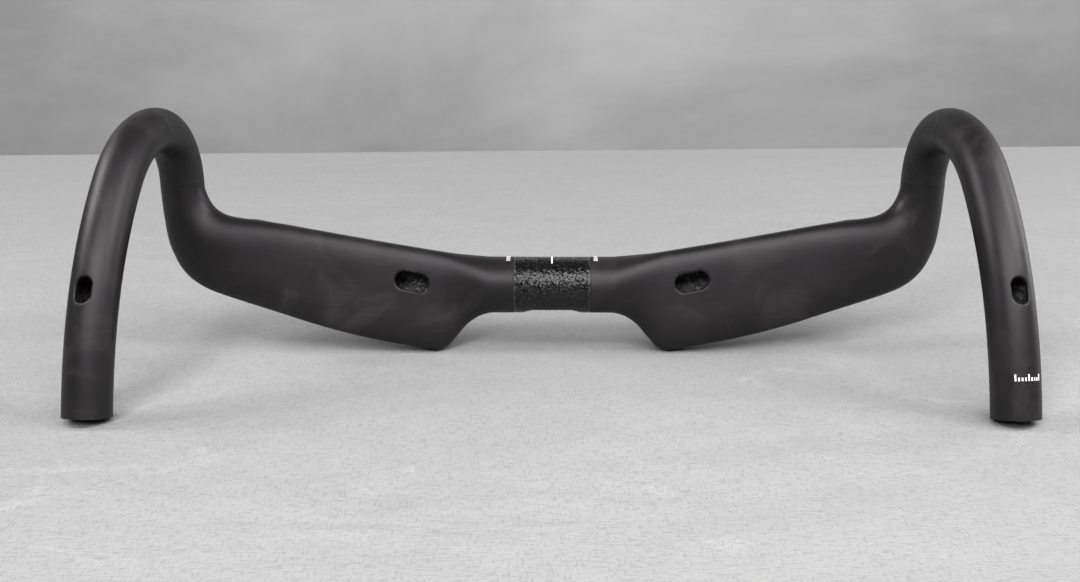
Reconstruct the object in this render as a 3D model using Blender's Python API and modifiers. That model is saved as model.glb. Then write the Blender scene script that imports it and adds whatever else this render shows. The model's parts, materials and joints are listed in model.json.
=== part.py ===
"""Bare carbon drop handlebar with aero tops, lying on its rear side.

Units are metres. +X runs along the bar to the rider's right as it lies, +Y away from its underside,
+Z up. Forward on the bicycle is +Z here, and up on the bicycle is +Y. The origin is on the surface
that it lies on, at the middle of its footprint.
"""

import math

import bmesh
import bpy
import numpy as np
from mathutils import Matrix, Vector

MM = 0.001

# Where the centre of the stem clamp lies over the footprint's middle.
CLAMP_HEIGHT = 36.0
CLAMP_BACK = 60.2

# Round stretches.
CLAMP_RADIUS = 15.9
HOOD_RADIUS = 12.1
DROP_RADIUS = 11.9

# Walls and fits.
TOPS_WALL = 1.8
DROP_WALL = 2.2
SPIGOT_WALL = 1.5
FIT_GAP = 0.3
BAND_THICKNESS = 0.5
REBATE = BAND_THICKNESS + FIT_GAP

# Half of the tops, from the middle outwards, as sections between a front and a rear edge:
# front x, front z, rear x, rear z, middle y, lean in degrees, half thickness, squareness.
TOPS_SECTIONS = (
    (21.8, 15.9, 21.8, -15.9, 0.0, 0.0, 15.9, 2.0),
    (33.0, 15.9, 33.0, -15.9, 0.0, 0.0, 15.9, 2.0),
    (40.0, 16.4, 40.0, -17.2, -0.2, 0.0, 15.2, 2.1),
    (48.0, 17.2, 48.0, -21.8, -1.0, 3.0, 13.4, 2.4),
    (55.0, 17.9, 55.0, -29.4, -2.2, 7.0, 11.8, 2.9),
    (60.5, 18.6, 60.2, -34.2, -3.2, 10.0, 10.8, 3.5),
    (66.0, 19.4, 66.0, -35.5, -3.8, 12.0, 10.3, 4.0),
    (78.0, 21.4, 78.0, -33.6, -3.8, 12.0, 10.0, 4.0),
    (100.0, 25.0, 100.0, -29.8, -3.0, 12.0, 10.0, 4.0),
    (125.0, 29.2, 125.0, -24.1, -1.5, 12.0, 10.0, 4.0),
    (150.0, 33.4, 150.0, -17.0, 0.5, 12.0, 10.2, 3.8),
    (168.0, 36.3, 172.0, -10.0, 2.5, 11.0, 10.6, 3.2),
    (180.0, 36.9, 190.0, -5.7, 4.2, 9.0, 11.1, 2.6),
    (188.6, 39.6, 203.0, -0.8, 6.0, 6.0, 11.6, 2.2),
    (193.2, 44.2, 212.8, 8.4, 7.4, 4.0, 11.9, 2.0),
    (195.5, 48.9, 217.9, 21.5, 8.6, 2.0, 12.1, 2.0),
    (196.8, 52.6, 220.4, 40.0, 9.5, 0.0, 12.1, 2.0),
)

# The bend over the top and down into the drop, seen from the side: it starts here, heads
# this way (degrees from +Z towards -Y), and turns on these radii up to these headings.
BEND_START = (209.3, 9.9, 54.4)
BEND_HEADING = -2.0
BEND_ARCS = ((35.0, 82.0), (65.0, 134.0), (190.0, 157.0), (227.0, 167.5))
DROP_STRAIGHT = 4.3
SEAM_HEADING = 94.0
# The drops flare outwards by this much for each millimetre downwards on the bicycle.
FLARE = 0.096

# The clamp band reaches this far either side of the middle.
CLAMP_BAND_HALF = 21.5
# The lever bands start at this heading of the bend and end at the seam.
LEVER_BAND_START = 4.0

# Cable ports: length and width, how deep they are cut, where they are (x, y, z on the wing, a
# heading on the drop), and their tilts and leans in degrees.
WING_PORT = (19.0, 10.0)
WING_PORT_DEPTH = 16.0
WING_PORT_PLACE = (78.5, -11.5, 4.4)
WING_PORT_TILT = 12.0
WING_LEAN = 12.0
DROP_PORT = (13.0, 8.0)
DROP_PORT_DEPTH = 12.0
DROP_PORT_HEADING = 153.0
DROP_PORT_TURN = 10.0
CLAMP_PORT = (31.0, 12.0)
CLAMP_PORT_DEPTH = 16.0
CLAMP_PORT_LEAN = 13.0

# The spigot inside each joint reaches between these headings of the bend.
SPIGOT_HEADINGS = (80.0, 107.0)
SPIGOT_GAP = 0.4

# Printed films: their thickness, then the width along the bar and the half turn of each.
FILM_THICKNESS = 0.15
CENTRE_MARK = (1.2, 29.0)
SCALE_MARK = (3.0, 19.0)
SCALE_MARK_X = 24.6
SIZE_MARK_HEADINGS = (163.05, 163.95)
SIZE_MARK_ANGLES = (223.0, 292.0)

# Mesh density: points round each section, degrees between the bend's sections, points round a
# port's two ends, and steps across each printed film.
TOPS_POINTS = 24
TUBE_POINTS = 20
ARC_STEP = 9.0
PORT_END_POINTS = 16
CLAMP_FILM_STEPS = 4
SIZE_FILM_STEPS = 5
# Edges sharper than this many degrees are drawn sharp.
SHARP_ANGLE = 35.0
# The halves of the tops meet within this distance, in metres.
MIRROR_MERGE = 0.00001

# The turn of the bend that takes up one fit gap, in degrees.
GAP_TURN = math.degrees(FIT_GAP / BEND_ARCS[0][0])


def smooth_columns(rows, position):
    """Each column of rows at a fractional row, on a curve that never overshoots its points."""
    rows = np.asarray(rows, float)
    steps = np.diff(rows, axis=0)
    slopes = np.zeros_like(rows)
    before, after = steps[:-1], steps[1:]
    same = before * after > 0
    total = np.where(same, before + after, 1.0)
    slopes[1:-1] = np.where(same, 2 * before * after / total, 0.0)
    slopes[0], slopes[-1] = steps[0], steps[-1]
    row = min(int(position), len(rows) - 2)
    t = position - row
    start, end = rows[row], rows[row + 1]
    return (
        (1 + 2 * t) * (1 - t) ** 2 * start
        + t * (1 - t) ** 2 * slopes[row]
        + t * t * (3 - 2 * t) * end
        - t * t * (1 - t) * slopes[row + 1]
    )


def bend_normal(heading):
    """The direction across the bend, towards its inside, in (y, z)."""
    angle = math.radians(heading)
    return np.array((-math.cos(angle), -math.sin(angle)))


def bend_point(heading):
    """(x, y, z) of the bend's centreline where it has this heading."""
    point = np.array(BEND_START[1:])
    start = BEND_HEADING
    for radius, end in BEND_ARCS:
        stop = min(heading, end)
        if stop > start:
            point = point + radius * (bend_normal(start) - bend_normal(stop))
        start = end
    flare = FLARE * max(BEND_START[1] - point[0], 0.0)
    return np.array((BEND_START[0] + flare, *point))


def bend_tangent(heading):
    """The direction along the bend, flare included."""
    angle = math.radians(heading)
    along = np.array((FLARE * max(math.sin(angle), 0.0), -math.sin(angle), math.cos(angle)))
    return along / np.linalg.norm(along)


def tube_section(centre, heading, radius):
    """(centre, half width, half depth, squareness) of a round section square to the bend."""
    inward = np.array((0.0, *bend_normal(heading)))
    across = np.cross(inward, bend_tangent(heading))
    return centre, across * radius, inward * radius, 2.0


def bend_sections(first, last, radius, step=ARC_STEP):
    """Round sections from one heading to another, about step degrees apart."""
    count = max(1, round((last - first) / step))
    headings = [first + (last - first) * i / count for i in range(count + 1)]
    return [tube_section(bend_point(h), h, radius) for h in headings]


def wing_sections(steps):
    """Sections of half the tops, from the clamp's middle out to the bend's start."""
    found = []
    last = len(TOPS_SECTIONS) - 1
    for index in range(last * steps + 1):
        values = smooth_columns(TOPS_SECTIONS, index / steps)
        front_x, front_z, rear_x, rear_z, middle_y, lean, depth, square = values
        chord = np.array((front_x - rear_x, 0.0, front_z - rear_z)) / 2
        chord[1] = abs(chord[2]) * math.tan(math.radians(lean))
        centre = np.array(((front_x + rear_x) / 2, middle_y, (front_z + rear_z) / 2))
        found.append([centre, chord, depth, square])
    sections = []
    for index, (centre, chord, depth, square) in enumerate(found):
        before = found[max(index - 1, 0)][0]
        after = found[index + 1][0] if index + 1 < len(found) else np.array(BEND_START)
        inward = np.cross(after - before, chord)
        inward = inward / np.linalg.norm(inward)
        sections.append((centre, chord, inward * depth, square))
    return sections


def ring_points(section, count, inset=0.0):
    """The points round one section, which a squareness over 2 flattens, set in by inset."""
    centre, across, inward, square = section
    across = across * (1 - inset / np.linalg.norm(across))
    inward = inward * (1 - inset / np.linalg.norm(inward))
    points = []
    for index in range(count):
        angle = 2 * math.pi * index / count
        c, s = math.cos(angle), math.sin(angle)
        reach = (abs(c) ** square + abs(s) ** square) ** (-1 / square)
        points.append(centre + across * (c * reach) + inward * (s * reach))
    return points


def loft(name, rings, side=1):
    """A surface through rings of (x, y, z) in millimetres, mirrored in x where side is -1."""
    shape = bmesh.new()
    offset = np.array((0.0, CLAMP_BACK, CLAMP_HEIGHT))
    made = []
    for ring in rings:
        points = [(np.array(p) + offset) * MM * (side, 1, 1) for p in ring]
        made.append([shape.verts.new(p) for p in points])
    for near, far in zip(made, made[1:]):
        for index in range(len(near)):
            following = (index + 1) % len(near)
            corners = (near[index], near[following], far[following], far[index])
            shape.faces.new(corners if side > 0 else corners[::-1])
    mesh = bpy.data.meshes.new(name)
    shape.to_mesh(mesh)
    shape.free()
    return mesh


def patch(name, sections, first_angle, last_angle, steps, lift):
    """An open patch of surface over part of the turn of some round sections, lifted off them."""
    shape = bmesh.new()
    offset = np.array((0.0, CLAMP_BACK, CLAMP_HEIGHT))
    rows = []
    for centre, across, inward, _ in sections:
        grow = 1 + lift / np.linalg.norm(across)
        row = []
        for index in range(steps + 1):
            angle = math.radians(first_angle + (last_angle - first_angle) * index / steps)
            point = centre + (across * math.cos(angle) + inward * math.sin(angle)) * grow
            row.append(shape.verts.new((point + offset) * MM))
        rows.append(row)
    for near, far in zip(rows, rows[1:]):
        for index in range(steps):
            shape.faces.new((near[index], near[index + 1], far[index + 1], far[index]))
    mesh = bpy.data.meshes.new(name)
    shape.to_mesh(mesh)
    shape.free()
    return mesh


def clear_scene():
    for item in list(bpy.data.objects):
        bpy.data.objects.remove(item, do_unlink=True)


def new_collection(name):
    group = bpy.data.collections.new(name)
    bpy.context.scene.collection.children.link(group)
    return group


def paint(name, colour, roughness):
    """A Principled material of one colour, not metallic."""
    material = bpy.data.materials.new(name)
    material.use_nodes = True
    shader = material.node_tree.nodes["Principled BSDF"]
    shader.inputs["Base Color"].default_value = (*colour, 1.0)
    shader.inputs["Roughness"].default_value = roughness
    shader.inputs["Metallic"].default_value = 0.0
    return material


def add_part(name, mesh, material, thickness, mirrored=False):
    """A named piece made from an open surface: mirrored across x, given its wall, shaded smooth."""
    piece = bpy.data.objects.new(name, mesh)
    PARTS.objects.link(piece)
    mesh.materials.append(material)
    mesh.shade_smooth()
    mesh.set_sharp_from_angle(angle=math.radians(SHARP_ANGLE))
    if mirrored:
        mirror = piece.modifiers.new("Mirror", "MIRROR")
        mirror.merge_threshold = MIRROR_MERGE
    wall = piece.modifiers.new("Wall", "SOLIDIFY")
    wall.thickness = abs(thickness) * MM
    wall.offset = -1.0 if thickness > 0 else 1.0
    wall.use_even_offset = True
    wall.use_quality_normals = True
    return piece


def add_port_cutter(name, size, depth, place, axes):
    """An obround prism: its length along the first axis, its depth along the third, centred."""
    length, width = size
    shape = bmesh.new()
    radius = width / 2 * MM
    bmesh.ops.create_circle(shape, cap_ends=True, radius=radius, segments=PORT_END_POINTS)
    reach = (length - width) / 2 * MM
    for vert in shape.verts:
        vert.co.x += reach if vert.co.x > 0 else -reach
    extruded = bmesh.ops.extrude_face_region(shape, geom=shape.faces[:])
    moved = [item for item in extruded["geom"] if isinstance(item, bmesh.types.BMVert)]
    bmesh.ops.translate(shape, verts=moved, vec=(0, 0, depth * MM))
    bmesh.ops.translate(shape, verts=shape.verts, vec=(0, 0, -depth / 2 * MM))
    bmesh.ops.recalc_face_normals(shape, faces=shape.faces)
    mesh = bpy.data.meshes.new(name)
    shape.to_mesh(mesh)
    shape.free()
    cutter = bpy.data.objects.new(name, mesh)
    CUTTERS.objects.link(cutter)
    cutter.hide_render = True
    cutter.display_type = "WIRE"
    place = (np.array(place) + (0.0, CLAMP_BACK, CLAMP_HEIGHT)) * MM
    turn = Matrix([Vector(axis).normalized() for axis in axes]).transposed().to_4x4()
    cutter.matrix_world = Matrix.Translation(place) @ turn
    return cutter


def cut(piece, cutter):
    boolean = piece.modifiers.new(cutter.name, "BOOLEAN")
    boolean.operation = "DIFFERENCE"
    boolean.object = cutter


def clamp_section(x):
    """The stem clamp's round section this far along the bar."""
    up = np.array((0.0, 0.0, CLAMP_RADIUS))
    near = np.array((0.0, -CLAMP_RADIUS, 0.0))
    return np.array((x, 0.0, 0.0)), up, near, 2.0


def make_tops(material):
    rebate_end = CLAMP_BAND_HALF + FIT_GAP
    rings = [ring_points(clamp_section(x), TOPS_POINTS, REBATE) for x in (0.0, rebate_end)]
    rings += [ring_points(s, TOPS_POINTS) for s in wing_sections(1)]
    hood = tube_section(bend_point(BEND_HEADING), BEND_HEADING, HOOD_RADIUS)
    rings.append(ring_points(hood, TOPS_POINTS))
    lever = bend_sections(LEVER_BAND_START, SEAM_HEADING, HOOD_RADIUS)
    rings.append(ring_points(lever[0], TOPS_POINTS))
    rings += [ring_points(s, TOPS_POINTS, REBATE) for s in lever]
    tops = add_part("tops_shell", loft("tops_shell", rings), material, TOPS_WALL, mirrored=True)
    tilt = math.radians(WING_PORT_TILT)
    lean = math.radians(WING_LEAN)
    out = Vector((0.0, -math.cos(lean), math.sin(lean)))
    for side, word in ((1, "right"), (-1, "left")):
        rising = Vector((math.cos(tilt) * side, 0.0, math.sin(tilt)))
        along = rising - out * rising.dot(out)
        place = np.array(WING_PORT_PLACE) * (side, 1, 1)
        axes = (along, out.cross(along), out)
        cutter = add_port_cutter(f"{word}_wing_port", WING_PORT, WING_PORT_DEPTH, place, axes)
        cut(tops, cutter)
    return tops


def make_clamp_port_cutter():
    lean = math.radians(CLAMP_PORT_LEAN)
    out = Vector((0.0, -math.sin(lean), -math.cos(lean)))
    along = Vector((1.0, 0.0, 0.0))
    axes = (along, out.cross(along), out)
    return add_port_cutter("clamp_port", CLAMP_PORT, CLAMP_PORT_DEPTH, out * CLAMP_RADIUS, axes)


def make_drop(word, side, material):
    start = SEAM_HEADING + GAP_TURN
    end = BEND_ARCS[-1][1]
    sections = bend_sections(start, end, DROP_RADIUS)
    sections[0] = tube_section(sections[0][0], start, HOOD_RADIUS)
    run = bend_tangent(end) * DROP_STRAIGHT
    centre, across, inward, square = sections[-1]
    sections.append((centre + run, across, inward, square))
    rings = [ring_points(s, TUBE_POINTS) for s in sections]
    name = f"{word}_drop_shell"
    drop = add_part(name, loft(name, rings, side), material, DROP_WALL)
    along = Vector(bend_tangent(DROP_PORT_HEADING)) * Vector((side, 1.0, 1.0))
    turn = math.radians(DROP_PORT_TURN)
    outward = -Vector((0.0, *bend_normal(DROP_PORT_HEADING))) * math.cos(turn)
    outward += Vector((side * math.sin(turn), 0.0, 0.0))
    place = bend_point(DROP_PORT_HEADING) * (side, 1, 1) + np.array(outward) * DROP_RADIUS
    axes = (along, outward.cross(along), outward)
    cut(drop, add_port_cutter(f"{word}_drop_port", DROP_PORT, DROP_PORT_DEPTH, place, axes))


def make_spigot(word, side, material):
    radius = HOOD_RADIUS - REBATE - TOPS_WALL - SPIGOT_GAP
    sections = bend_sections(*SPIGOT_HEADINGS, radius)
    rings = [ring_points(s, TUBE_POINTS) for s in sections]
    name = f"{word}_joint_spigot"
    add_part(name, loft(name, rings, side), material, SPIGOT_WALL)


def make_lever_band(word, side, material):
    sections = bend_sections(LEVER_BAND_START + GAP_TURN, SEAM_HEADING, HOOD_RADIUS)
    rings = [ring_points(s, TOPS_POINTS) for s in sections]
    name = f"{word}_lever_grip_band"
    add_part(name, loft(name, rings, side), material, BAND_THICKNESS)


def make_clamp_band(material):
    name = "clamp_grip_band"
    ends = (-CLAMP_BAND_HALF, CLAMP_BAND_HALF)
    rings = [ring_points(clamp_section(x), TOPS_POINTS) for x in ends]
    return add_part(name, loft(name, rings), material, BAND_THICKNESS)


def make_marks(material):
    """Printed films on the front of the clamp and on the underside of the right drop."""
    films = (
        ("clamp_centre_mark", 0.0, CENTRE_MARK),
        ("right_clamp_scale", SCALE_MARK_X, SCALE_MARK),
        ("left_clamp_scale", -SCALE_MARK_X, SCALE_MARK),
    )
    for name, x, (width, turn) in films:
        sections = [clamp_section(x - width / 2), clamp_section(x + width / 2)]
        mesh = patch(name, sections, -turn, turn, CLAMP_FILM_STEPS, FIT_GAP)
        add_part(name, mesh, material, -FILM_THICKNESS)
    sections = bend_sections(*SIZE_MARK_HEADINGS, DROP_RADIUS)
    name = "size_mark"
    mesh = patch(name, sections, *SIZE_MARK_ANGLES, SIZE_FILM_STEPS, FIT_GAP)
    add_part(name, mesh, material, -FILM_THICKNESS)


clear_scene()
PARTS = new_collection("drop_handlebar")
CUTTERS = new_collection("cutters")
CUTTERS.hide_render = True
CARBON = paint("satin_carbon", (0.012, 0.012, 0.013), 0.45)
BORE_CARBON = paint("bare_carbon", (0.03, 0.03, 0.031), 0.6)
GRIT = paint("grip_coating", (0.016, 0.016, 0.017), 0.8)
INK = paint("white_ink", (0.8, 0.8, 0.8), 0.5)
CLAMP_CUTTER = make_clamp_port_cutter()
cut(make_tops(CARBON), CLAMP_CUTTER)
cut(make_clamp_band(GRIT), CLAMP_CUTTER)
for SIDE, WORD in ((1, "right"), (-1, "left")):
    make_drop(WORD, SIDE, CARBON)
    make_spigot(WORD, SIDE, BORE_CARBON)
    make_lever_band(WORD, SIDE, GRIT)
make_marks(INK)
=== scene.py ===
import json
import math

import bmesh
import bpy
import numpy as np
from mathutils import Matrix, Vector, noise
from mathutils.bvhtree import BVHTree


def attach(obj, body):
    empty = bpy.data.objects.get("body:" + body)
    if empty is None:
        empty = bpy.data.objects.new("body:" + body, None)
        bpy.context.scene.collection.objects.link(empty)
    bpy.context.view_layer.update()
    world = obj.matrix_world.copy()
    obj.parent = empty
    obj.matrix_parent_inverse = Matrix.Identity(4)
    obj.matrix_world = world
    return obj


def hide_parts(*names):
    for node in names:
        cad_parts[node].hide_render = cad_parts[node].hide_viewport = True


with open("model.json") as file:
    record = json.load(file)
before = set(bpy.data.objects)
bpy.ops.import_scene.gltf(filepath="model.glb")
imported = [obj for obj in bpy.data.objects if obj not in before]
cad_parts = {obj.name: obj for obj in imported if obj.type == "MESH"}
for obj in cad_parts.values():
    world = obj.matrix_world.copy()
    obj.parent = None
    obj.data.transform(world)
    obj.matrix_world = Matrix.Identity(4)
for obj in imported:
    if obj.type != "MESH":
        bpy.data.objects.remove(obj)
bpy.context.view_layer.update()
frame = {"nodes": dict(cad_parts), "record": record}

# The clamp's middle, in millimetres. Every shape below is made round it, then moved there.
STEM = next(m for m in frame["record"]["mounts"] if m["name"] == "stem_clamp")
CLAMP = np.array(STEM["pos_m"]) * 1000.0
MM = 0.001

# Tube sizes, in millimetres.
CLAMP_RADIUS = 15.9
HOOD_RADIUS = 12.1
DROP_RADIUS = 11.9
TOPS_WALL = 1.8
DROP_WALL = 2.2
BAND_THICKNESS = 0.5
REBATE = 0.8
SEAM_GAP = 0.12

# Half of the tops: front x, front z, rear x, rear z, middle y, lean, half thickness, squareness.
TOPS_SECTIONS = (
    (21.8, 15.9, 21.8, -15.9, 0.0, 0.0, 15.9, 2.0),
    (33.0, 15.9, 33.0, -15.9, 0.0, 0.0, 15.9, 2.0),
    (40.0, 16.4, 40.0, -17.2, -0.2, 0.0, 15.2, 2.1),
    (48.0, 17.2, 48.0, -21.8, -1.0, 3.0, 13.4, 2.4),
    (55.0, 17.9, 55.0, -29.4, -2.2, 7.0, 11.8, 2.9),
    (60.5, 18.6, 60.2, -34.2, -3.2, 10.0, 10.8, 3.5),
    (66.0, 19.4, 66.0, -35.5, -3.8, 12.0, 10.3, 4.0),
    (78.0, 21.4, 78.0, -33.6, -3.8, 12.0, 10.0, 4.0),
    (100.0, 25.0, 100.0, -29.8, -3.0, 12.0, 10.0, 4.0),
    (125.0, 29.2, 125.0, -24.1, -1.5, 12.0, 10.0, 4.0),
    (150.0, 33.4, 150.0, -17.0, 0.5, 12.0, 10.2, 3.8),
    (168.0, 36.3, 172.0, -10.0, 2.5, 11.0, 10.6, 3.2),
    (180.0, 36.9, 190.0, -5.7, 4.2, 9.0, 11.1, 2.6),
    (188.6, 39.6, 203.0, -0.8, 6.0, 6.0, 11.6, 2.2),
    (193.2, 44.2, 212.8, 8.4, 7.4, 4.0, 11.9, 2.0),
    (195.5, 48.9, 217.9, 21.5, 8.6, 2.0, 12.1, 2.0),
    (196.8, 52.6, 220.4, 40.0, 9.5, 0.0, 12.1, 2.0),
)

# The bend into the drop, as in the CAD: where it starts, its heading there, its arcs as (radius,
# heading at the end), the straight below it, the seam's heading and the outward flare.
BEND_START = (209.3, 9.9, 54.4)
BEND_HEADING = -2.0
BEND_ARCS = ((35.0, 82.0), (65.0, 134.0), (190.0, 157.0), (227.0, 167.5))
DROP_STRAIGHT = 4.3
SEAM_HEADING = 94.0
FLARE = 0.096

# Bands: the clamp band's half width, the heading where each lever band starts, the steps along
# the clamp band and the headings between the rings of a lever band.
CLAMP_BAND_HALF = 21.5
LEVER_BAND_START = 4.0
CLAMP_BAND_STEPS = 100
LEVER_BAND_STEP = 0.75
# The lever band stays this far from its two ends (headings) and below the hood's surface (mm).
LEVER_BAND_TRIM = (0.15, 0.1)
LEVER_BAND_INSET = 0.02
# Grains on the bands: depth and size, and how far the first and last rings are set in.
GRAIN_DEPTH = 0.06
GRAIN_SIZE = 0.42
GRAIN_BIAS = 0.6
BAND_EDGE_INSET = 0.08

# The rounded shoulders beside the clamp band and the lever bands.
SHOULDER_INSET = 0.14
SHOULDER_RUN = 0.16
SHOULDER_STEP = 0.001
SHOULDER_TURNS = ((0.4, SHOULDER_INSET), (0.39, REBATE))
# The rings of the recess under the clamp band, and the heading past a lever band's start where
# the recess under it has its first plain section.
CLAMP_RINGS = (0.0, 7.0, 14.0)
LEVER_REBATE_TURN = 0.5

# The drop's rounded lip at the seam, as (heading past the seam, inset), the radius that it loses
# from each to the next, and the heading where its plain sections start.
DROP_LIP = ((0.0, 0.22), (0.25, 0.06), (0.6, 0.0), (1.5, 0.0), (3.0, 0.0))
DROP_LIP_TAPER = 0.04
DROP_PLAIN_START = 6.0
# The drop's sawn end, as (distance back from the end, inset), and its nicks.
DROP_END = ((0.5, 0.0), (0.15, 0.05), (0.0, 0.2))
NICK_SIZE = 2.3
NICK_DEPTH = 0.5
NICK_BIAS = 0.1

# Wrinkles of the walls inside: depth and size.
TOPS_WRINKLES = (0.28, 3.2)
DROP_WRINKLES = (0.22, 2.6)

# The low crest at the wing's leading edge: x of its top, its height, and how far it reaches
# inwards and outwards.
CREST_X = 171.0
CREST_HEIGHT = 0.55
CREST_REACH = (6.0, 3.2)

# Cable ports.
WING_PORT = (19.0, 10.0)
WING_PORT_PLACE = (78.5, -11.5, 4.4)
WING_PORT_TILT = 12.0
WING_LEAN = 12.0
DROP_PORT = (13.0, 8.0)
DROP_PORT_HEADING = 153.0
DROP_PORT_TURN = 10.0
CLAMP_PORT = (31.0, 12.0)
CLAMP_PORT_LEAN = 13.0

# Printed marks: the height of the ink's two faces over the surface, then where each mark is.
INK_LIFTS = (0.02, 0.07)
TICK_HALF_WIDTH = 0.38
TICK_TURN = (-29.0, 28.0)
SCALE_MARK_X = 24.6
SCALE_HALF_WIDTH = 1.15
SCALE_TURN = 18.0
SCALE_DASHES = 9
SCALE_DASH_TURN = 0.7
SIZE_MARK_HEADINGS = (163.05, 163.95)
SIZE_MARK_ANGLES = (223.0, 292.0)
SIZE_TICKS = 9
SIZE_TICK_TURN = 1.9
LONG_TICK = 0.85
SHORT_TICK = 0.45

# Mesh density: points round a tube, round a band and round a port, sections along the tops, and
# headings between sections of the bend.
AROUND = 96
BAND_AROUND = 160
PORT_AROUND = 40
WING_STEPS = 6
BEND_STEP = 3.0
FINE_STEP = 2.0
# Edges sharper than this many degrees are shaded sharp, on the shells, the bands and the ink.
SHELL_SHARP = 40.0
BAND_SHARP = 60.0
INK_SHARP = 30.0

# Outwards of this section the tops are blended over this many sections either way. The blend
# comes in and goes out again over these numbers of sections.
BLEND_FROM = 8.0
BLEND_SPREAD = 0.9
BLEND_RISE = 2.0
BLEND_FALL = 1.5
BLEND_SHARES = (-1.0, -0.5, 0.0, 0.5, 1.0)

# The floor and the backdrop, in metres and degrees.
FLOOR_Y = -0.88
FLOOR_SIZE = (5.0, 3.45)
FLOOR_TURN = 3.6
FLOOR_CELLS = 60
BACKDROP_PLACE = (0.0, 2.6, 0.4)
BACKDROP_SIZE = (8.0, 4.0)

# Softboxes, aimed at the bar: name, azimuth, elevation, distance, size, power in watts, and
# whether it shows as a highlight.
SOFTBOXES = (
    ("front_softbox", 8.0, 45.0, 1.9, (2.0, 1.1), 54.0, True),
    ("port_softbox", -20.0, 27.0, 1.9, (0.5, 0.4), 22.0, False),
    ("left_softbox", -93.0, 38.0, 1.7, (0.8, 0.6), 20.0, True),
    ("right_softbox", 76.0, 42.0, 1.7, (0.8, 0.7), 22.0, True),
    ("side_softbox", 112.0, 16.0, 1.7, (0.5, 1.0), 9.0, True),
    ("overhead_softbox", 0.0, 80.0, 2.1, (2.8, 2.2), 8.0, False),
)
LIGHT_TARGET = (0.0, 0.0, 0.05)
BACKDROP_TARGET = (0.0, 2.6, 0.6)
SKY_STRENGTH = 0.12
TONE_GAMMA = 0.87

# The camera, from the clamp's middle in metres, in degrees and millimetres.
CAMERA_TURN = 0.25
CAMERA_PITCH = 14.30
CAMERA_OFFSET = (0.0, -0.73449, 0.18161)
CAMERA_LENS = 44.33
CAMERA_SENSOR = 36.0
CAMERA_SHIFT = (-0.0111, 0.0029)


def smooth_columns(rows, position):
    """Each column of rows at a fractional row, on a curve that never overshoots its points."""
    rows = np.asarray(rows, float)
    steps = np.diff(rows, axis=0)
    slopes = np.zeros_like(rows)
    before, after = steps[:-1], steps[1:]
    same = before * after > 0
    total = np.where(same, before + after, 1.0)
    slopes[1:-1] = np.where(same, 2 * before * after / total, 0.0)
    slopes[0], slopes[-1] = steps[0], steps[-1]
    row = min(int(position), len(rows) - 2)
    t = position - row
    start, end = rows[row], rows[row + 1]
    return (
        (1 + 2 * t) * (1 - t) ** 2 * start
        + t * (1 - t) ** 2 * slopes[row]
        + t * t * (3 - 2 * t) * end
        - t * t * (1 - t) * slopes[row + 1]
    )


def bend_normal(heading):
    """The direction across the bend, towards its inside, in (y, z)."""
    angle = math.radians(heading)
    return np.array((-math.cos(angle), -math.sin(angle)))


def bend_point(heading):
    """(x, y, z) of the bend's centreline where it has this heading."""
    point = np.array(BEND_START[1:])
    start = BEND_HEADING
    for radius, end in BEND_ARCS:
        stop = min(heading, end)
        if stop > start:
            point = point + radius * (bend_normal(start) - bend_normal(stop))
        start = end
    flare = FLARE * max(BEND_START[1] - point[0], 0.0)
    return np.array((BEND_START[0] + flare, *point))


def bend_tangent(heading):
    """The direction along the bend, flare included."""
    angle = math.radians(heading)
    along = np.array((FLARE * max(math.sin(angle), 0.0), -math.sin(angle), math.cos(angle)))
    return along / np.linalg.norm(along)


def tube_section(centre, heading, radius):
    """(centre, half width, half depth, squareness) of a round section square to the bend."""
    inward = np.array((0.0, *bend_normal(heading)))
    across = np.cross(inward, bend_tangent(heading))
    return centre, across * radius, inward * radius, 2.0


def bend_sections(first, last, radius, step=BEND_STEP):
    """Round sections from one heading to another, about step degrees apart."""
    count = max(1, round((last - first) / step))
    headings = [first + (last - first) * i / count for i in range(count + 1)]
    return [tube_section(bend_point(h), h, radius) for h in headings]


def clamp_section(x):
    """The stem clamp's round section this far along the bar."""
    up = np.array((0.0, 0.0, CLAMP_RADIUS))
    near = np.array((0.0, -CLAMP_RADIUS, 0.0))
    return np.array((x, 0.0, 0.0)), up, near, 2.0


def wing_sections(steps):
    """Sections of half the tops, from the clamp out to the bend's start."""
    found = []
    last = len(TOPS_SECTIONS) - 1
    for index in range(last * steps + 1):
        position = index / steps
        rise = min(max((position - BLEND_FROM) / BLEND_RISE, 0.0), 1.0)
        fall = min(max((last - position) / BLEND_FALL, 0.0), 1.0)
        spread = BLEND_SPREAD * rise * fall
        places = [position + spread * share for share in BLEND_SHARES]
        values = np.mean([smooth_columns(TOPS_SECTIONS, p) for p in places], axis=0)
        front_x, front_z, rear_x, rear_z, middle_y, lean, depth, square = values
        chord = np.array((front_x - rear_x, 0.0, front_z - rear_z)) / 2
        chord[1] = abs(chord[2]) * math.tan(math.radians(lean))
        centre = np.array(((front_x + rear_x) / 2, middle_y, (front_z + rear_z) / 2))
        found.append([centre, chord, depth, square])
    sections = []
    for index, (centre, chord, depth, square) in enumerate(found):
        before = found[max(index - 1, 0)][0]
        after = found[index + 1][0] if index + 1 < len(found) else np.array(BEND_START)
        inward = np.cross(after - before, chord)
        inward = inward / np.linalg.norm(inward)
        sections.append((centre, chord, inward * depth, square))
    return sections


def ring_points(section, count=AROUND, inset=0.0):
    """The points round one section, which a squareness over 2 flattens, set in by inset."""
    centre, across, inward, square = section
    across = across * (1 - inset / np.linalg.norm(across))
    inward = inward * (1 - inset / np.linalg.norm(inward))
    angles = np.arange(count) * (2 * math.pi / count)
    c, s = np.cos(angles), np.sin(angles)
    reach = (np.abs(c) ** square + np.abs(s) ** square) ** (-1 / square)
    return centre + np.outer(c * reach, across) + np.outer(s * reach, inward)


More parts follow.
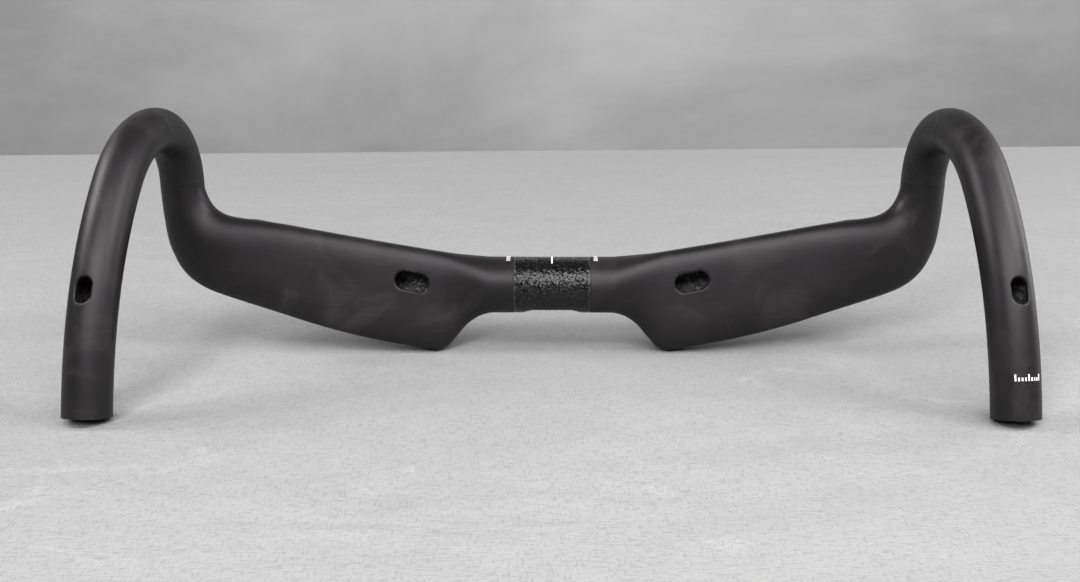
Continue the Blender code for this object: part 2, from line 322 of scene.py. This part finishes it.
def wrinkled(ring, centre, depth, size):
    """The ring with the moulded laminate's wrinkles, which only ever reach into the wall."""
    out = []
    for point in ring:
        place = Vector(point) / size
        height = noise.fractal(place, 1.0, 2.0, 3) * depth
        away = np.array(point) - centre
        out.append(point + away / np.linalg.norm(away) * height)
    return np.array(out)


def thick_shell(name, outer, inner, side=1):
    """A closed tube wall between two lists of rings, open at both ends. Side -1 mirrors it in x."""
    count = len(outer[0])
    points = (np.concatenate([*outer, *inner]) + CLAMP) * MM
    points[:, 0] *= side
    rings = len(outer)
    faces, slots = [], []
    for k in range(rings - 1):
        for i in range(count):
            j = (i + 1) % count
            a, b = k * count + i, k * count + j
            c, d = b + count, a + count
            faces.append((a, b, c, d))
            slots.append(0)
            e = rings * count
            faces.append((d + e, c + e, b + e, a + e))
            slots.append(1)
    last, shift = (rings - 1) * count, rings * count
    for i in range(count):
        j = (i + 1) % count
        faces.append((i + shift, j + shift, j, i))
        slots.append(0)
        faces.append((last + i, last + j, last + j + shift, last + i + shift))
        slots.append(0)
    if side < 0:
        faces = [face[::-1] for face in faces]
    mesh = bpy.data.meshes.new(name)
    mesh.from_pydata([tuple(p) for p in points], [], faces)
    mesh.polygons.foreach_set("material_index", slots)
    mesh.update()
    piece = bpy.data.objects.new(name, mesh)
    bpy.context.scene.collection.objects.link(piece)
    return piece


def paint_faces(piece, materials):
    """Gives the piece its materials before anything is cut out of it."""
    for material in materials:
        piece.data.materials.append(material)


def finish_piece(piece, replaced, sharp=SHELL_SHARP):
    """Shades the piece, hangs it on the bar's body and hides the CAD nodes that it stands for."""
    mesh = piece.data
    mesh.shade_smooth()
    mesh.set_sharp_from_angle(angle=math.radians(sharp))
    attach(piece, "root")
    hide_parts(*replaced)


def apply_modifiers(piece):
    """Makes the piece's modifiers part of its mesh."""
    graph = bpy.context.evaluated_depsgraph_get()
    mesh = bpy.data.meshes.new_from_object(piece.evaluated_get(graph), depsgraph=graph)
    piece.modifiers.clear()
    piece.data = mesh


# A port's mouth: how far each ring of its cutter stands outside the port's outline, and how high.
MOUTH = (
    (0.0, -14.0),
    (0.0, -1.1),
    (0.08, -0.70),
    (0.27, -0.36),
    (0.58, -0.13),
    (1.0, 0.0),
    (1.6, 0.6),
    (2.4, 2.5),
)
# How far above a port the surface is looked for.
RAY_HEIGHT = 20.0


def port_cutter(name, piece, size, place, along, out):
    """A solid that cuts an obround port whose mouth is rounded over, following the piece's skin."""
    length, width = size
    across = out.cross(along)
    origin = Vector(place)
    graph = bpy.context.evaluated_depsgraph_get()
    tree = BVHTree.FromObject(piece, graph)
    reach = (length - width) / 2
    rings = []
    for grow, height in MOUTH:
        ring = []
        for i in range(PORT_AROUND):
            angle = 2 * math.pi * (i + 0.5) / PORT_AROUND
            c, s = math.cos(angle), math.sin(angle)
            u = (width / 2 + grow) * c + (reach if c > 0 else -reach)
            v = (width / 2 + grow) * s
            start = origin + along * u + across * v + out * RAY_HEIGHT
            hit = tree.ray_cast(start * MM, -out)
            level = (hit[0] / MM - origin).dot(out) if hit[0] is not None else 0.0
            ring.append(origin + along * u + across * v + out * (level + height))
        rings.append(ring)
    shape = bmesh.new()
    made = [[shape.verts.new(p * MM) for p in ring] for ring in rings]
    for near, far in zip(made, made[1:]):
        for i in range(PORT_AROUND):
            j = (i + 1) % PORT_AROUND
            shape.faces.new((near[i], near[j], far[j], far[i]))
    shape.faces.new(made[0][::-1])
    shape.faces.new(made[-1])
    bmesh.ops.recalc_face_normals(shape, faces=shape.faces)
    mesh = bpy.data.meshes.new(name)
    shape.to_mesh(mesh)
    shape.free()
    cutter = bpy.data.objects.new(name, mesh)
    bpy.context.scene.collection.objects.link(cutter)
    return cutter


def cut(piece, cutters):
    """Takes each cutter out of the piece, one after another, and removes the cutter."""
    for cutter in cutters:
        boolean = piece.modifiers.new(cutter.name, "BOOLEAN")
        boolean.operation = "DIFFERENCE"
        boolean.solver = "MANIFOLD"
        boolean.object = cutter
        apply_modifiers(piece)
        mesh = cutter.data
        bpy.data.objects.remove(cutter)
        bpy.data.meshes.remove(mesh)


def mirrored(ring):
    return ring * np.array((-1.0, 1.0, 1.0))


def with_inner(sections, insets, wall, wrinkle, size):
    """Outer and inner rings of a tube wall: insets sets each outer ring in, as at a rebate."""
    outer = [ring_points(s, inset=i) for s, i in zip(sections, insets)]
    inner = []
    for section, inset in zip(sections, insets):
        ring = ring_points(section, inset=wall + inset)
        inner.append(wrinkled(ring, section[0], wrinkle, size))
    return outer, inner


def new_material(name, roughness=0.5, specular=0.5):
    material = bpy.data.materials.new(name)
    material.use_nodes = True
    tree = material.node_tree
    shader = tree.nodes["Principled BSDF"]
    shader.inputs["Roughness"].default_value = roughness
    shader.inputs["Specular IOR Level"].default_value = specular
    return material, tree, shader


def coordinates(tree, scale=(1.0, 1.0, 1.0)):
    """Object coordinates in metres, times scale."""
    coords = tree.nodes.new("ShaderNodeTexCoord")
    mapping = tree.nodes.new("ShaderNodeMapping")
    mapping.inputs["Scale"].default_value = scale
    tree.links.new(coords.outputs["Object"], mapping.inputs["Vector"])
    return mapping.outputs["Vector"]


def noise_at(tree, vector, scale, detail=3.0, rough=0.5, distortion=0.0):
    made = tree.nodes.new("ShaderNodeTexNoise")
    made.inputs["Scale"].default_value = scale
    made.inputs["Detail"].default_value = detail
    made.inputs["Roughness"].default_value = rough
    made.inputs["Distortion"].default_value = distortion
    tree.links.new(vector, made.inputs["Vector"])
    return made.outputs["Fac"]


def ramp(tree, factor, *stops):
    """A smooth run of values or colours between (place, value) stops."""
    made = tree.nodes.new("ShaderNodeValToRGB")
    elements = made.color_ramp.elements
    while len(elements) < len(stops):
        elements.new(0.5)
    for element, (place, value) in zip(elements, stops):
        element.position = place
        element.color = (*value, 1.0) if isinstance(value, tuple) else (value, value, value, 1.0)
    tree.links.new(factor, made.inputs["Fac"])
    return made.outputs["Color"]


def maths(tree, operation, first, second):
    made = tree.nodes.new("ShaderNodeMath")
    made.operation = operation
    for socket, value in zip(made.inputs, (first, second)):
        if isinstance(value, (int, float)):
            socket.default_value = value
        else:
            tree.links.new(value, socket)
    return made.outputs["Value"]


def mix(tree, factor, first, second, blend="MIX"):
    made = tree.nodes.new("ShaderNodeMix")
    made.data_type = "RGBA"
    made.blend_type = blend
    for name, value in (("Factor_Float", factor), ("A_Color", first), ("B_Color", second)):
        socket = next(s for s in made.inputs if s.identifier == name)
        if isinstance(value, (int, float)):
            socket.default_value = value
        elif isinstance(value, tuple):
            socket.default_value = (*value, 1.0)
        else:
            tree.links.new(value, socket)
    return next(s for s in made.outputs if s.identifier == "Result_Color")


def bumped(tree, shader, *layers):
    """Each layer is (height, distance in metres, strength), the broadest first."""
    normal = None
    for height, distance, strength in layers:
        made = tree.nodes.new("ShaderNodeBump")
        made.inputs["Distance"].default_value = distance
        made.inputs["Strength"].default_value = strength
        tree.links.new(height, made.inputs["Height"])
        if normal is not None:
            tree.links.new(normal, made.inputs["Normal"])
        normal = made.outputs["Normal"]
    tree.links.new(normal, shader.inputs["Normal"])


def satin_carbon_material():
    """Matt lacquer over carbon: cloudy handling marks, a faint lay of fibre and orange peel."""
    material, tree, shader = new_material("satin_carbon_lacquer", specular=0.4)
    shader.inputs["Specular Tint"].default_value = (1.0, 0.94, 0.985, 1.0)
    place = coordinates(tree)
    cloud = noise_at(tree, place, 16.0, 4.0, 0.55, 0.4)
    mottle = noise_at(tree, place, 120.0, 3.0, 0.6)
    fibre = noise_at(tree, coordinates(tree, (14.0, 900.0, 900.0)), 1.0, 2.0, 0.6)
    marks = noise_at(tree, place, 26.0, 6.0, 0.6, 1.2)
    base = ramp(tree, cloud, (0.32, (0.0072, 0.0068, 0.0072)), (0.70, (0.0120, 0.0113, 0.0118)))
    base = mix(tree, ramp(tree, mottle, (0.35, 0.0), (0.8, 0.35)), base, (0.015, 0.0142, 0.0148))
    base = mix(tree, ramp(tree, marks, (0.50, 0.0), (0.74, 0.75)), base, (0.036, 0.0325, 0.0330))
    base = mix(tree, ramp(tree, fibre, (0.3, 0.22), (0.7, 0.0)), base, (0.0045, 0.0044, 0.0045))
    tree.links.new(base, shader.inputs["Base Color"])
    rough = ramp(tree, cloud, (0.3, 0.43), (0.7, 0.50))
    rough = mix(tree, ramp(tree, marks, (0.50, 0.0), (0.75, 0.8)), rough, (0.54, 0.54, 0.54))
    rough = mix(tree, ramp(tree, fibre, (0.35, 0.35), (0.65, 0.0)), rough, (0.36, 0.36, 0.36))
    tree.links.new(rough, shader.inputs["Roughness"])
    peel = noise_at(tree, place, 900.0, 2.0, 0.5)
    grain = noise_at(tree, place, 4200.0, 1.0, 0.5)
    bumped(tree, shader, (mottle, 0.00012, 0.25), (peel, 0.00005, 0.35), (grain, 0.00002, 0.35))
    return material


def bare_carbon_material():
    """Unpainted laminate inside the tube: resin-rich pale patches over dark crumpled cloth."""
    material, tree, shader = new_material("bare_carbon_laminate", specular=0.5)
    place = coordinates(tree)
    patches = noise_at(tree, place, 520.0, 4.0, 0.62, 0.8)
    weave_a = noise_at(tree, coordinates(tree, (260.0, 1500.0, 1500.0)), 1.0, 1.0, 0.5)
    base = ramp(
        tree,
        patches,
        (0.40, (0.016, 0.016, 0.016)),
        (0.52, (0.055, 0.054, 0.054)),
        (0.66, (0.24, 0.235, 0.235)),
    )
    base = mix(tree, ramp(tree, weave_a, (0.4, 0.5), (0.6, 0.0)), base, (0.03, 0.03, 0.03))
    tree.links.new(base, shader.inputs["Base Color"])
    tree.links.new(ramp(tree, patches, (0.35, 0.62), (0.7, 0.36)), shader.inputs["Roughness"])
    fine = noise_at(tree, place, 1500.0, 2.0, 0.6)
    bumped(tree, shader, (patches, 0.0006, 0.6), (fine, 0.0001, 0.5))
    return material


def grit_material(name, grain, facet_tilt, pale_grain_and_glint_share, pale_grain_and_glint_colour, rim_burr_and_highlight_colour, base_low, base_high, rough):
    """Assembly grit on a clamping zone. grain is the grains in a metre, facet_tilt how far they
    lean, pale_grain_and_glint_share the share of grains painted pale and pale_grain_and_glint_colour
    their colour, which stand both for pale grit and for painted glints, and
    rim_burr_and_highlight_colour the colour along the borders, a paler burred rim with a painted
    highlight on it."""
    material, tree, shader = new_material(name, specular=0.5)
    place = coordinates(tree)
    cells = tree.nodes.new("ShaderNodeTexVoronoi")
    cells.inputs["Scale"].default_value = grain
    cells.inputs["Randomness"].default_value = 1.0
    tree.links.new(place, cells.inputs["Vector"])
    split = tree.nodes.new("ShaderNodeSeparateColor")
    tree.links.new(cells.outputs["Color"], split.inputs["Color"])
    cloud = noise_at(tree, place, 110.0, 5.0, 0.6)
    base = ramp(tree, cloud, (0.38, base_low), (0.62, base_high))
    full = min(1.0 - pale_grain_and_glint_share * 0.5, 0.995)
    # Pale grains in the base colour: pale grit, and painted glints that stand in for sparkle.
    pale_grains_and_glints = ramp(tree, split.outputs["Red"], (1.0 - pale_grain_and_glint_share, 0.0), (full, 1.0))
    base = mix(tree, pale_grains_and_glints, base, pale_grain_and_glint_colour)
    # Paler flecks along the borders: the burred rim's own paler edge, with a painted highlight on it.
    border = tree.nodes.new("ShaderNodeAttribute")
    border.attribute_name = "border"
    flecks = noise_at(tree, place, 1300.0, 2.0, 0.6)
    flecked = ramp(tree, flecks, (0.45, 0.0), (0.6, 0.8))
    edge = maths(tree, "MULTIPLY", border.outputs["Fac"], flecked)
    base = mix(tree, edge, base, rim_burr_and_highlight_colour)
    tree.links.new(base, shader.inputs["Base Color"])
    roughness = ramp(tree, split.outputs["Green"], (0.0, rough[0]), (0.8, rough[1]))
    tree.links.new(roughness, shader.inputs["Roughness"])
    offset = tree.nodes.new("ShaderNodeVectorMath")
    offset.operation = "SUBTRACT"
    tree.links.new(place, offset.inputs[0])
    tree.links.new(cells.outputs["Position"], offset.inputs[1])
    lean = tree.nodes.new("ShaderNodeVectorMath")
    lean.operation = "SUBTRACT"
    tree.links.new(cells.outputs["Color"], lean.inputs[0])
    lean.inputs[1].default_value = (0.5, 0.5, 0.5)
    facet = tree.nodes.new("ShaderNodeVectorMath")
    facet.operation = "DOT_PRODUCT"
    tree.links.new(offset.outputs["Vector"], facet.inputs[0])
    tree.links.new(lean.outputs["Vector"], facet.inputs[1])
    bumped(tree, shader, (facet.outputs["Value"], facet_tilt, 1.0))
    return material


def ink_material():
    """Screen-printed white, thin enough to show a little of the grain under it."""
    material, tree, shader = new_material("white_print", specular=0.4)
    place = coordinates(tree)
    wear = noise_at(tree, place, 2600.0, 3.0, 0.6)
    base = ramp(tree, wear, (0.25, (0.50, 0.50, 0.50)), (0.55, (0.80, 0.80, 0.79)))
    tree.links.new(base, shader.inputs["Base Color"])
    tree.links.new(ramp(tree, wear, (0.3, 0.6), (0.7, 0.42)), shader.inputs["Roughness"])
    bumped(tree, shader, (wear, 0.00003, 0.4))
    return material


def cloth_material():
    """The pale floor: plain cloth with a fine weave, soft creases and a few scuffs, and a painted
    shade that darkens it towards the back.
    """
    material, tree, shader = new_material("floor_cloth", specular=0.2)
    place = coordinates(tree)
    tone = noise_at(tree, place, 5.0, 5.0, 0.55, 0.5)
    patch = noise_at(tree, place, 40.0, 4.0, 0.6)
    scuff = noise_at(tree, coordinates(tree, (14.0, 20.0, 9.0)), 1.0, 6.0, 0.62, 1.2)
    base = ramp(tree, tone, (0.3, (0.268, 0.268, 0.268)), (0.7, (0.292, 0.292, 0.292)))
    base = mix(tree, ramp(tree, patch, (0.3, 0.4), (0.7, 0.0)), base, (0.238, 0.238, 0.238))
    base = mix(tree, ramp(tree, scuff, (0.62, 0.0), (0.75, 0.35)), base, (0.40, 0.40, 0.40))
    thread_a = noise_at(tree, coordinates(tree, (950.0, 180.0, 1.0)), 1.0, 1.0, 0.5)
    thread_b = noise_at(tree, coordinates(tree, (180.0, 700.0, 1.0)), 1.0, 1.0, 0.5)
    threads = maths(tree, "ADD", thread_a, thread_b)
    base = mix(tree, ramp(tree, threads, (0.75, 0.6), (1.1, 0.0)), base, (0.214, 0.214, 0.214))
    # Painted shade: the cloth is made darker towards the back, where the floor gets less light.
    split = tree.nodes.new("ShaderNodeSeparateXYZ")
    tree.links.new(place, split.inputs["Vector"])
    far = ramp(tree, split.outputs["Y"], (0.15, 0.0), (0.84, 0.85))
    base = mix(tree, far, base, (0.205, 0.205, 0.205))
    tree.links.new(base, shader.inputs["Base Color"])
    shader.inputs["Roughness"].default_value = 0.9
    crease = noise_at(tree, coordinates(tree, (5.0, 9.0, 3.0)), 1.0, 3.0, 0.5, 0.8)
    bumped(tree, shader, (crease, 0.02, 0.22), (patch, 0.0016, 0.4), (threads, 0.0006, 0.7))
    return material


def backdrop_material():
    """Painted canvas behind the floor, softly clouded."""
    material, tree, shader = new_material("backdrop_canvas", specular=0.1)
    place = coordinates(tree)
    cloud = noise_at(tree, place, 7.0, 6.0, 0.62, 0.3)
    base = ramp(tree, cloud, (0.36, (0.225, 0.225, 0.225)), (0.64, (0.318, 0.316, 0.316)))
    tree.links.new(base, shader.inputs["Base Color"])
    shader.inputs["Roughness"].default_value = 0.95
    return material


SATIN = satin_carbon_material()
BARE = bare_carbon_material()
# Grit: grains per metre, facet lean, share and colour of the pale grains (pale grit and painted
# glints), colour of the painted highlight on the burred borders, base tones and roughness.
CLAMP_GRIT = grit_material(
    "clamp_grit", 1650.0, 0.42, 0.03, (0.05, 0.05, 0.05), (0.08, 0.08, 0.08),
    (0.0025, 0.0025, 0.0025), (0.0050, 0.0049, 0.0050), (0.04, 0.18),
)
LEVER_GRIT = grit_material(
    "lever_grit", 1900.0, 0.16, 0.004, (0.03, 0.03, 0.03), (0.022, 0.022, 0.022),
    (0.0045, 0.0044, 0.0045), (0.0105, 0.0102, 0.0104), (0.44, 0.58),
)
INK = ink_material()


def make_tops():
    """The one-piece tops: centre tube, both wings, and both hoods up to the joint."""
    edge = CLAMP_BAND_HALF + SEAM_GAP
    recessed = (*CLAMP_RINGS, edge)
    places = (*recessed, edge + SHOULDER_STEP, edge + SHOULDER_RUN)
    sections = [clamp_section(x) for x in places]
    insets = [REBATE] * len(recessed) + [SHOULDER_INSET, 0.0]
    wing = wing_sections(WING_STEPS)
    sections += wing
    insets += [0.0] * len(wing)
    hood = bend_sections(BEND_HEADING, LEVER_BAND_START - SEAM_GAP * 2, HOOD_RADIUS, FINE_STEP)
    sections += hood
    insets += [0.0] * len(hood)
    turn = math.degrees(SEAM_GAP / BEND_ARCS[0][0])
    for share, inset in SHOULDER_TURNS:
        heading = LEVER_BAND_START - turn * share
        sections.append(tube_section(bend_point(heading), heading, HOOD_RADIUS))
        insets.append(inset)
    lever = bend_sections(LEVER_BAND_START + LEVER_REBATE_TURN, SEAM_HEADING, HOOD_RADIUS)
    sections += lever
    insets += [REBATE] * len(lever)
    outer, inner = with_inner(sections, insets, TOPS_WALL, *TOPS_WRINKLES)
    for k, (section, ring) in enumerate(zip(sections, outer)):
        if insets[k] == 0.0:
            outer[k] = crested(ring, section)
    outer = [mirrored(r) for r in outer[:0:-1]] + outer
    inner = [mirrored(r) for r in inner[:0:-1]] + inner
    tops = thick_shell("tops_shell_fine", outer, inner)
    paint_faces(tops, (SATIN, BARE))
    cutters = [clamp_port_cutter(tops)]
    tilt, lean = math.radians(WING_PORT_TILT), math.radians(WING_LEAN)
    out = Vector((0.0, -math.cos(lean), math.sin(lean)))
    for side, word in ((1, "right"), (-1, "left")):
        rising = Vector((math.cos(tilt) * side, 0.0, math.sin(tilt)))
        along = (rising - out * rising.dot(out)).normalized()
        place = np.array(WING_PORT_PLACE) * (side, 1, 1) + CLAMP
        cutters.append(port_cutter(f"{word}_wing_port", tops, WING_PORT, place, along, out))
    cut(tops, cutters)
    finish_piece(tops, ["tops_shell"])


def crested(ring, section):
    """The ring with the low crest where the wing's leading edge runs into the hood."""
    x = abs(section[0][0])
    reach = CREST_REACH[0] if x < CREST_X else CREST_REACH[1]
    rise = CREST_HEIGHT * math.exp(-((x - CREST_X) / reach) ** 2)
    if rise < 0.01:
        return ring
    centre, across, inward, _ = section
    unit = across / np.linalg.norm(across)
    share = (ring - centre) @ unit / np.linalg.norm(across)
    behind = -(ring - centre) @ inward / np.dot(inward, inward)
    weight = np.clip(share, 0, 1) ** 3 * np.clip(0.6 + behind, 0, 1)
    return ring + np.outer(weight * rise, unit)


def clamp_port_cutter(piece):
    """The cutter of the wide port in the rear of the clamp."""
    lean = math.radians(CLAMP_PORT_LEAN)
    out = Vector((0.0, -math.sin(lean), -math.cos(lean)))
    along = Vector((1.0, 0.0, 0.0))
    place = Vector(CLAMP) + out * CLAMP_RADIUS
    return port_cutter("clamp_port", piece, CLAMP_PORT, place, along, out)


def make_drop(word, side):
    """One drop: from the joint at the top of the bend to the cut end."""
    start = SEAM_HEADING + math.degrees(SEAM_GAP / BEND_ARCS[0][0])
    end = BEND_ARCS[-1][1]
    sections, insets = [], []
    for k, (past, inset) in enumerate(DROP_LIP):
        radius = HOOD_RADIUS + DROP_LIP_TAPER - DROP_LIP_TAPER * k
        sections.append(tube_section(bend_point(start + past), start + past, radius))
        insets.append(inset)
    rest = bend_sections(start + DROP_PLAIN_START, end, DROP_RADIUS, FINE_STEP)
    sections += rest
    insets += [0.0] * len(rest)
    centre, across, inward, square = rest[-1]
    tangent = bend_tangent(end)
    for back, inset in DROP_END:
        sections.append((centre + tangent * (DROP_STRAIGHT - back), across, inward, square))
        insets.append(inset)
    outer, inner = with_inner(sections, insets, DROP_WALL, *DROP_WRINKLES)
    outer[-1] = chipped(outer[-1], tangent)
    inner[-1] = chipped(inner[-1], tangent)
    drop = thick_shell(f"{word}_drop_fine", outer, inner, side)
    paint_faces(drop, (SATIN, BARE))
    flip = Vector((side, 1.0, 1.0))
    along = (Vector(bend_tangent(DROP_PORT_HEADING)) * flip).normalized()
    turn = math.radians(DROP_PORT_TURN)
    out = -Vector((0.0, *bend_normal(DROP_PORT_HEADING))) * math.cos(turn)
    out += Vector((side * math.sin(turn), 0.0, 0.0))
    out = (out - along * out.dot(along)).normalized()
    place = bend_point(DROP_PORT_HEADING) * (side, 1, 1) + np.array(out) * DROP_RADIUS + CLAMP
    cut(drop, [port_cutter(f"{word}_drop_port", drop, DROP_PORT, place, along, out)])
    finish_piece(drop, [f"{word}_drop_shell"])


def chipped(ring, along):
    """The sawn rim: shallow nicks that only ever shorten the tube."""
    out = []
    for point in ring:
        rough = noise.fractal(Vector(point) / NICK_SIZE, 1.0, 2.0, 3)
        out.append(point - along * max(0.0, rough + NICK_BIAS) * NICK_DEPTH)
    return np.array(out)


def gritted(rings, sections):
    """Rings roughened with grains that never stand outside the original surface."""
    out = []
    for ring, section in zip(rings, sections):
        made = []
        for point in ring:
            height = (noise.noise(Vector(point) / GRAIN_SIZE) - GRAIN_BIAS) * GRAIN_DEPTH
            away = point - section[0]
            made.append(point + away / np.linalg.norm(away) * min(height, 0.0))
        out.append(np.array(made))
    return out


def make_band(name, sections, material, node_name, side, cutter_for=None):
    """A thin coated sleeve, its borders marked for the material's paler burred rim and the painted
    highlight along it.
    """
    outer = gritted([ring_points(s, BAND_AROUND) for s in sections], sections)
    outer[0] = ring_points(sections[0], BAND_AROUND, BAND_EDGE_INSET)
    outer[-1] = ring_points(sections[-1], BAND_AROUND, BAND_EDGE_INSET)
    inner = [ring_points(s, BAND_AROUND, BAND_THICKNESS) for s in sections]
    band = thick_shell(name, outer, inner, side)
    paint_faces(band, (material,))
    layer = band.data.attributes.new("border", "FLOAT", "POINT")
    values = np.zeros(len(band.data.vertices), np.float32)
    rings = len(sections)
    for k in (0, 1, 2, rings - 3, rings - 2, rings - 1):
        values[k * BAND_AROUND:(k + 1) * BAND_AROUND] = 1.0
    layer.data.foreach_set("value", values)
    band.data.polygons.foreach_set("material_index", [0] * len(band.data.polygons))
    if cutter_for is not None:
        cut(band, [cutter_for(band)])
    finish_piece(band, [node_name], BAND_SHARP)


def make_bands():
    """The coated bands on the clamp and on both lever zones."""
    steps = CLAMP_BAND_STEPS
    places = [-CLAMP_BAND_HALF + 2 * CLAMP_BAND_HALF * i / steps for i in range(steps + 1)]
    clamp = [clamp_section(x) for x in places]
    make_band("clamp_grip_coating", clamp, CLAMP_GRIT, "clamp_grip_band", 1, clamp_port_cutter)
    first = LEVER_BAND_START + LEVER_BAND_TRIM[0]
    last = SEAM_HEADING - LEVER_BAND_TRIM[1]
    for side, word in ((1, "right"), (-1, "left")):
        lever = bend_sections(first, last, HOOD_RADIUS - LEVER_BAND_INSET, LEVER_BAND_STEP)
        name = f"{word}_lever_grip_coating"
        make_band(name, lever, LEVER_GRIT, f"{word}_lever_grip_band", side)


def film(shape, sections, first, last, steps):
    """One closed film of ink over part of the turn of round sections."""
    layers = []
    for lift in INK_LIFTS:
        rows = []
        for centre, across, inward, _ in sections:
            grow = 1 + lift / np.linalg.norm(across)
            row = []
            for index in range(steps + 1):
                angle = math.radians(first + (last - first) * index / steps)
                point = centre + (across * math.cos(angle) + inward * math.sin(angle)) * grow
                row.append(shape.verts.new((point + CLAMP) * MM))
            rows.append(row)
        layers.append(rows)
    bottom, top = layers
    count = len(sections) - 1
    for k in range(count):
        below, above = (bottom[k], bottom[k + 1]), (top[k], top[k + 1])
        for i in range(steps):
            j = i + 1
            shape.faces.new((above[0][i], above[0][j], above[1][j], above[1][i]))
            shape.faces.new((below[1][i], below[1][j], below[0][j], below[0][i]))
        for i in (0, steps):
            shape.faces.new((below[0][i], above[0][i], above[1][i], below[1][i]))
    for i in range(steps):
        for k in (0, count):
            shape.faces.new((bottom[k][i], bottom[k][i + 1], top[k][i + 1], top[k][i]))


def make_film_piece(name, films, node_name):
    """One printed piece, made of the films given as (sections, first, last, steps)."""
    shape = bmesh.new()
    for values in films:
        film(shape, *values)
    bmesh.ops.recalc_face_normals(shape, faces=shape.faces)
    mesh = bpy.data.meshes.new(name)
    shape.to_mesh(mesh)
    shape.free()
    piece = bpy.data.objects.new(name, mesh)
    bpy.context.scene.collection.objects.link(piece)
    paint_faces(piece, (INK,))
    finish_piece(piece, [node_name], INK_SHARP)


def make_marks():
    """The centre tick and angle ladders at the clamp, and the tick scale on the right drop."""
    tick = [clamp_section(x) for x in (-TICK_HALF_WIDTH, TICK_HALF_WIDTH)]
    make_film_piece("clamp_centre_tick", [(tick, *TICK_TURN, 16)], "clamp_centre_mark")
    for side, word in ((1, "right"), (-1, "left")):
        films = []
        middle = SCALE_MARK_X * side
        ends = (middle - SCALE_HALF_WIDTH, middle + SCALE_HALF_WIDTH)
        for k in range(SCALE_DASHES):
            angle = -SCALE_TURN + 2 * SCALE_TURN * k / (SCALE_DASHES - 1)
            run = [clamp_section(x) for x in ends]
            films.append((run, angle - SCALE_DASH_TURN, angle + SCALE_DASH_TURN, 2))
        make_film_piece(f"{word}_clamp_ladder", films, f"{word}_clamp_scale")
    first, last = SIZE_MARK_HEADINGS
    start, end = SIZE_MARK_ANGLES
    films = []
    for k in range(SIZE_TICKS):
        share = LONG_TICK if k % 4 == 0 else SHORT_TICK
        top = last - (last - first) * share
        angle = start + (end - start) * (k + 0.5) / SIZE_TICKS
        sections = bend_sections(top, last, DROP_RADIUS, (last - top) / 2)
        films.append((sections, angle - SIZE_TICK_TURN, angle + SIZE_TICK_TURN, 3))
    make_film_piece("size_tick_scale", films, "size_mark")


def make_floor():
    """The cloth floor, which ends behind the bar, and the backdrop beyond it."""
    bpy.ops.mesh.primitive_grid_add(
        x_subdivisions=FLOOR_CELLS,
        y_subdivisions=FLOOR_CELLS,
        size=1.0,
        location=(0.0, FLOOR_Y, 0.0),
    )
    floor = bpy.context.object
    floor.name = "floor"
    floor.scale = (*FLOOR_SIZE, 1.0)
    bpy.ops.object.transform_apply(location=True, scale=True)
    floor.rotation_euler.z = math.radians(FLOOR_TURN)
    floor.data.materials.append(cloth_material())
    upright = (math.radians(90), 0, 0)
    bpy.ops.mesh.primitive_plane_add(size=1.0, location=BACKDROP_PLACE, rotation=upright)
    backdrop = bpy.context.object
    backdrop.name = "backdrop"
    backdrop.scale = (*BACKDROP_SIZE, 1.0)
    backdrop.data.materials.append(backdrop_material())


def add_light(name, azimuth, elevation, distance, size, power, shows, target=LIGHT_TARGET):
    """A softbox in that direction from target: azimuth 0 is on the camera's side, 90 to the right."""
    turn, rise = math.radians(azimuth), math.radians(elevation)
    level = math.cos(rise)
    away = Vector((math.sin(turn) * level, -math.cos(turn) * level, math.sin(rise)))
    data = bpy.data.lights.new(name, "AREA")
    data.shape = "RECTANGLE"
    data.size, data.size_y = size
    data.energy = power
    light = bpy.data.objects.new(name, data)
    bpy.context.scene.collection.objects.link(light)
    light.location = Vector(target) + away * distance
    light.rotation_euler = away.to_track_quat("Z", "Y").to_euler()
    light.visible_glossy = shows


def make_lights():
    """An even dim surround, the softboxes round the bar, and a strip over the backdrop."""
    world = bpy.data.worlds.new("studio")
    bpy.context.scene.world = world
    world.use_nodes = True
    background = world.node_tree.nodes["Background"]
    background.inputs["Color"].default_value = (1.0, 1.0, 1.0, 1.0)
    background.inputs["Strength"].default_value = SKY_STRENGTH
    for softbox in SOFTBOXES:
        add_light(*softbox)
    add_light("backdrop_light", 0.0, 35.0, 1.8, (5.5, 0.6), 125.0, True, BACKDROP_TARGET)


def make_camera():
    """A view from just above the bar, tilted down on it."""
    data = bpy.data.cameras.new("camera")
    data.sensor_width = CAMERA_SENSOR
    data.lens = CAMERA_LENS
    data.shift_x, data.shift_y = CAMERA_SHIFT
    data.clip_start = 0.01
    camera = bpy.data.objects.new("camera", data)
    bpy.context.scene.collection.objects.link(camera)
    turn = Matrix.Rotation(math.radians(CAMERA_TURN), 3, "Z")
    camera.location = Vector(CLAMP * MM) + turn @ Vector(CAMERA_OFFSET)
    pitch = math.radians(90.0 - CAMERA_PITCH)
    camera.rotation_euler = (pitch, 0.0, math.radians(CAMERA_TURN))
    bpy.context.scene.camera = camera


make_camera()
make_tops()
for SIDE, WORD in ((1, "right"), (-1, "left")):
    make_drop(WORD, SIDE)
    spigot = frame["nodes"][f"{WORD}_joint_spigot"]
    for held in spigot.material_slots:
        held.material = BARE
make_bands()
make_marks()
make_floor()
make_lights()
bpy.context.scene.view_settings.view_transform = "Standard"
bpy.context.scene.view_settings.gamma = TONE_GAMMA
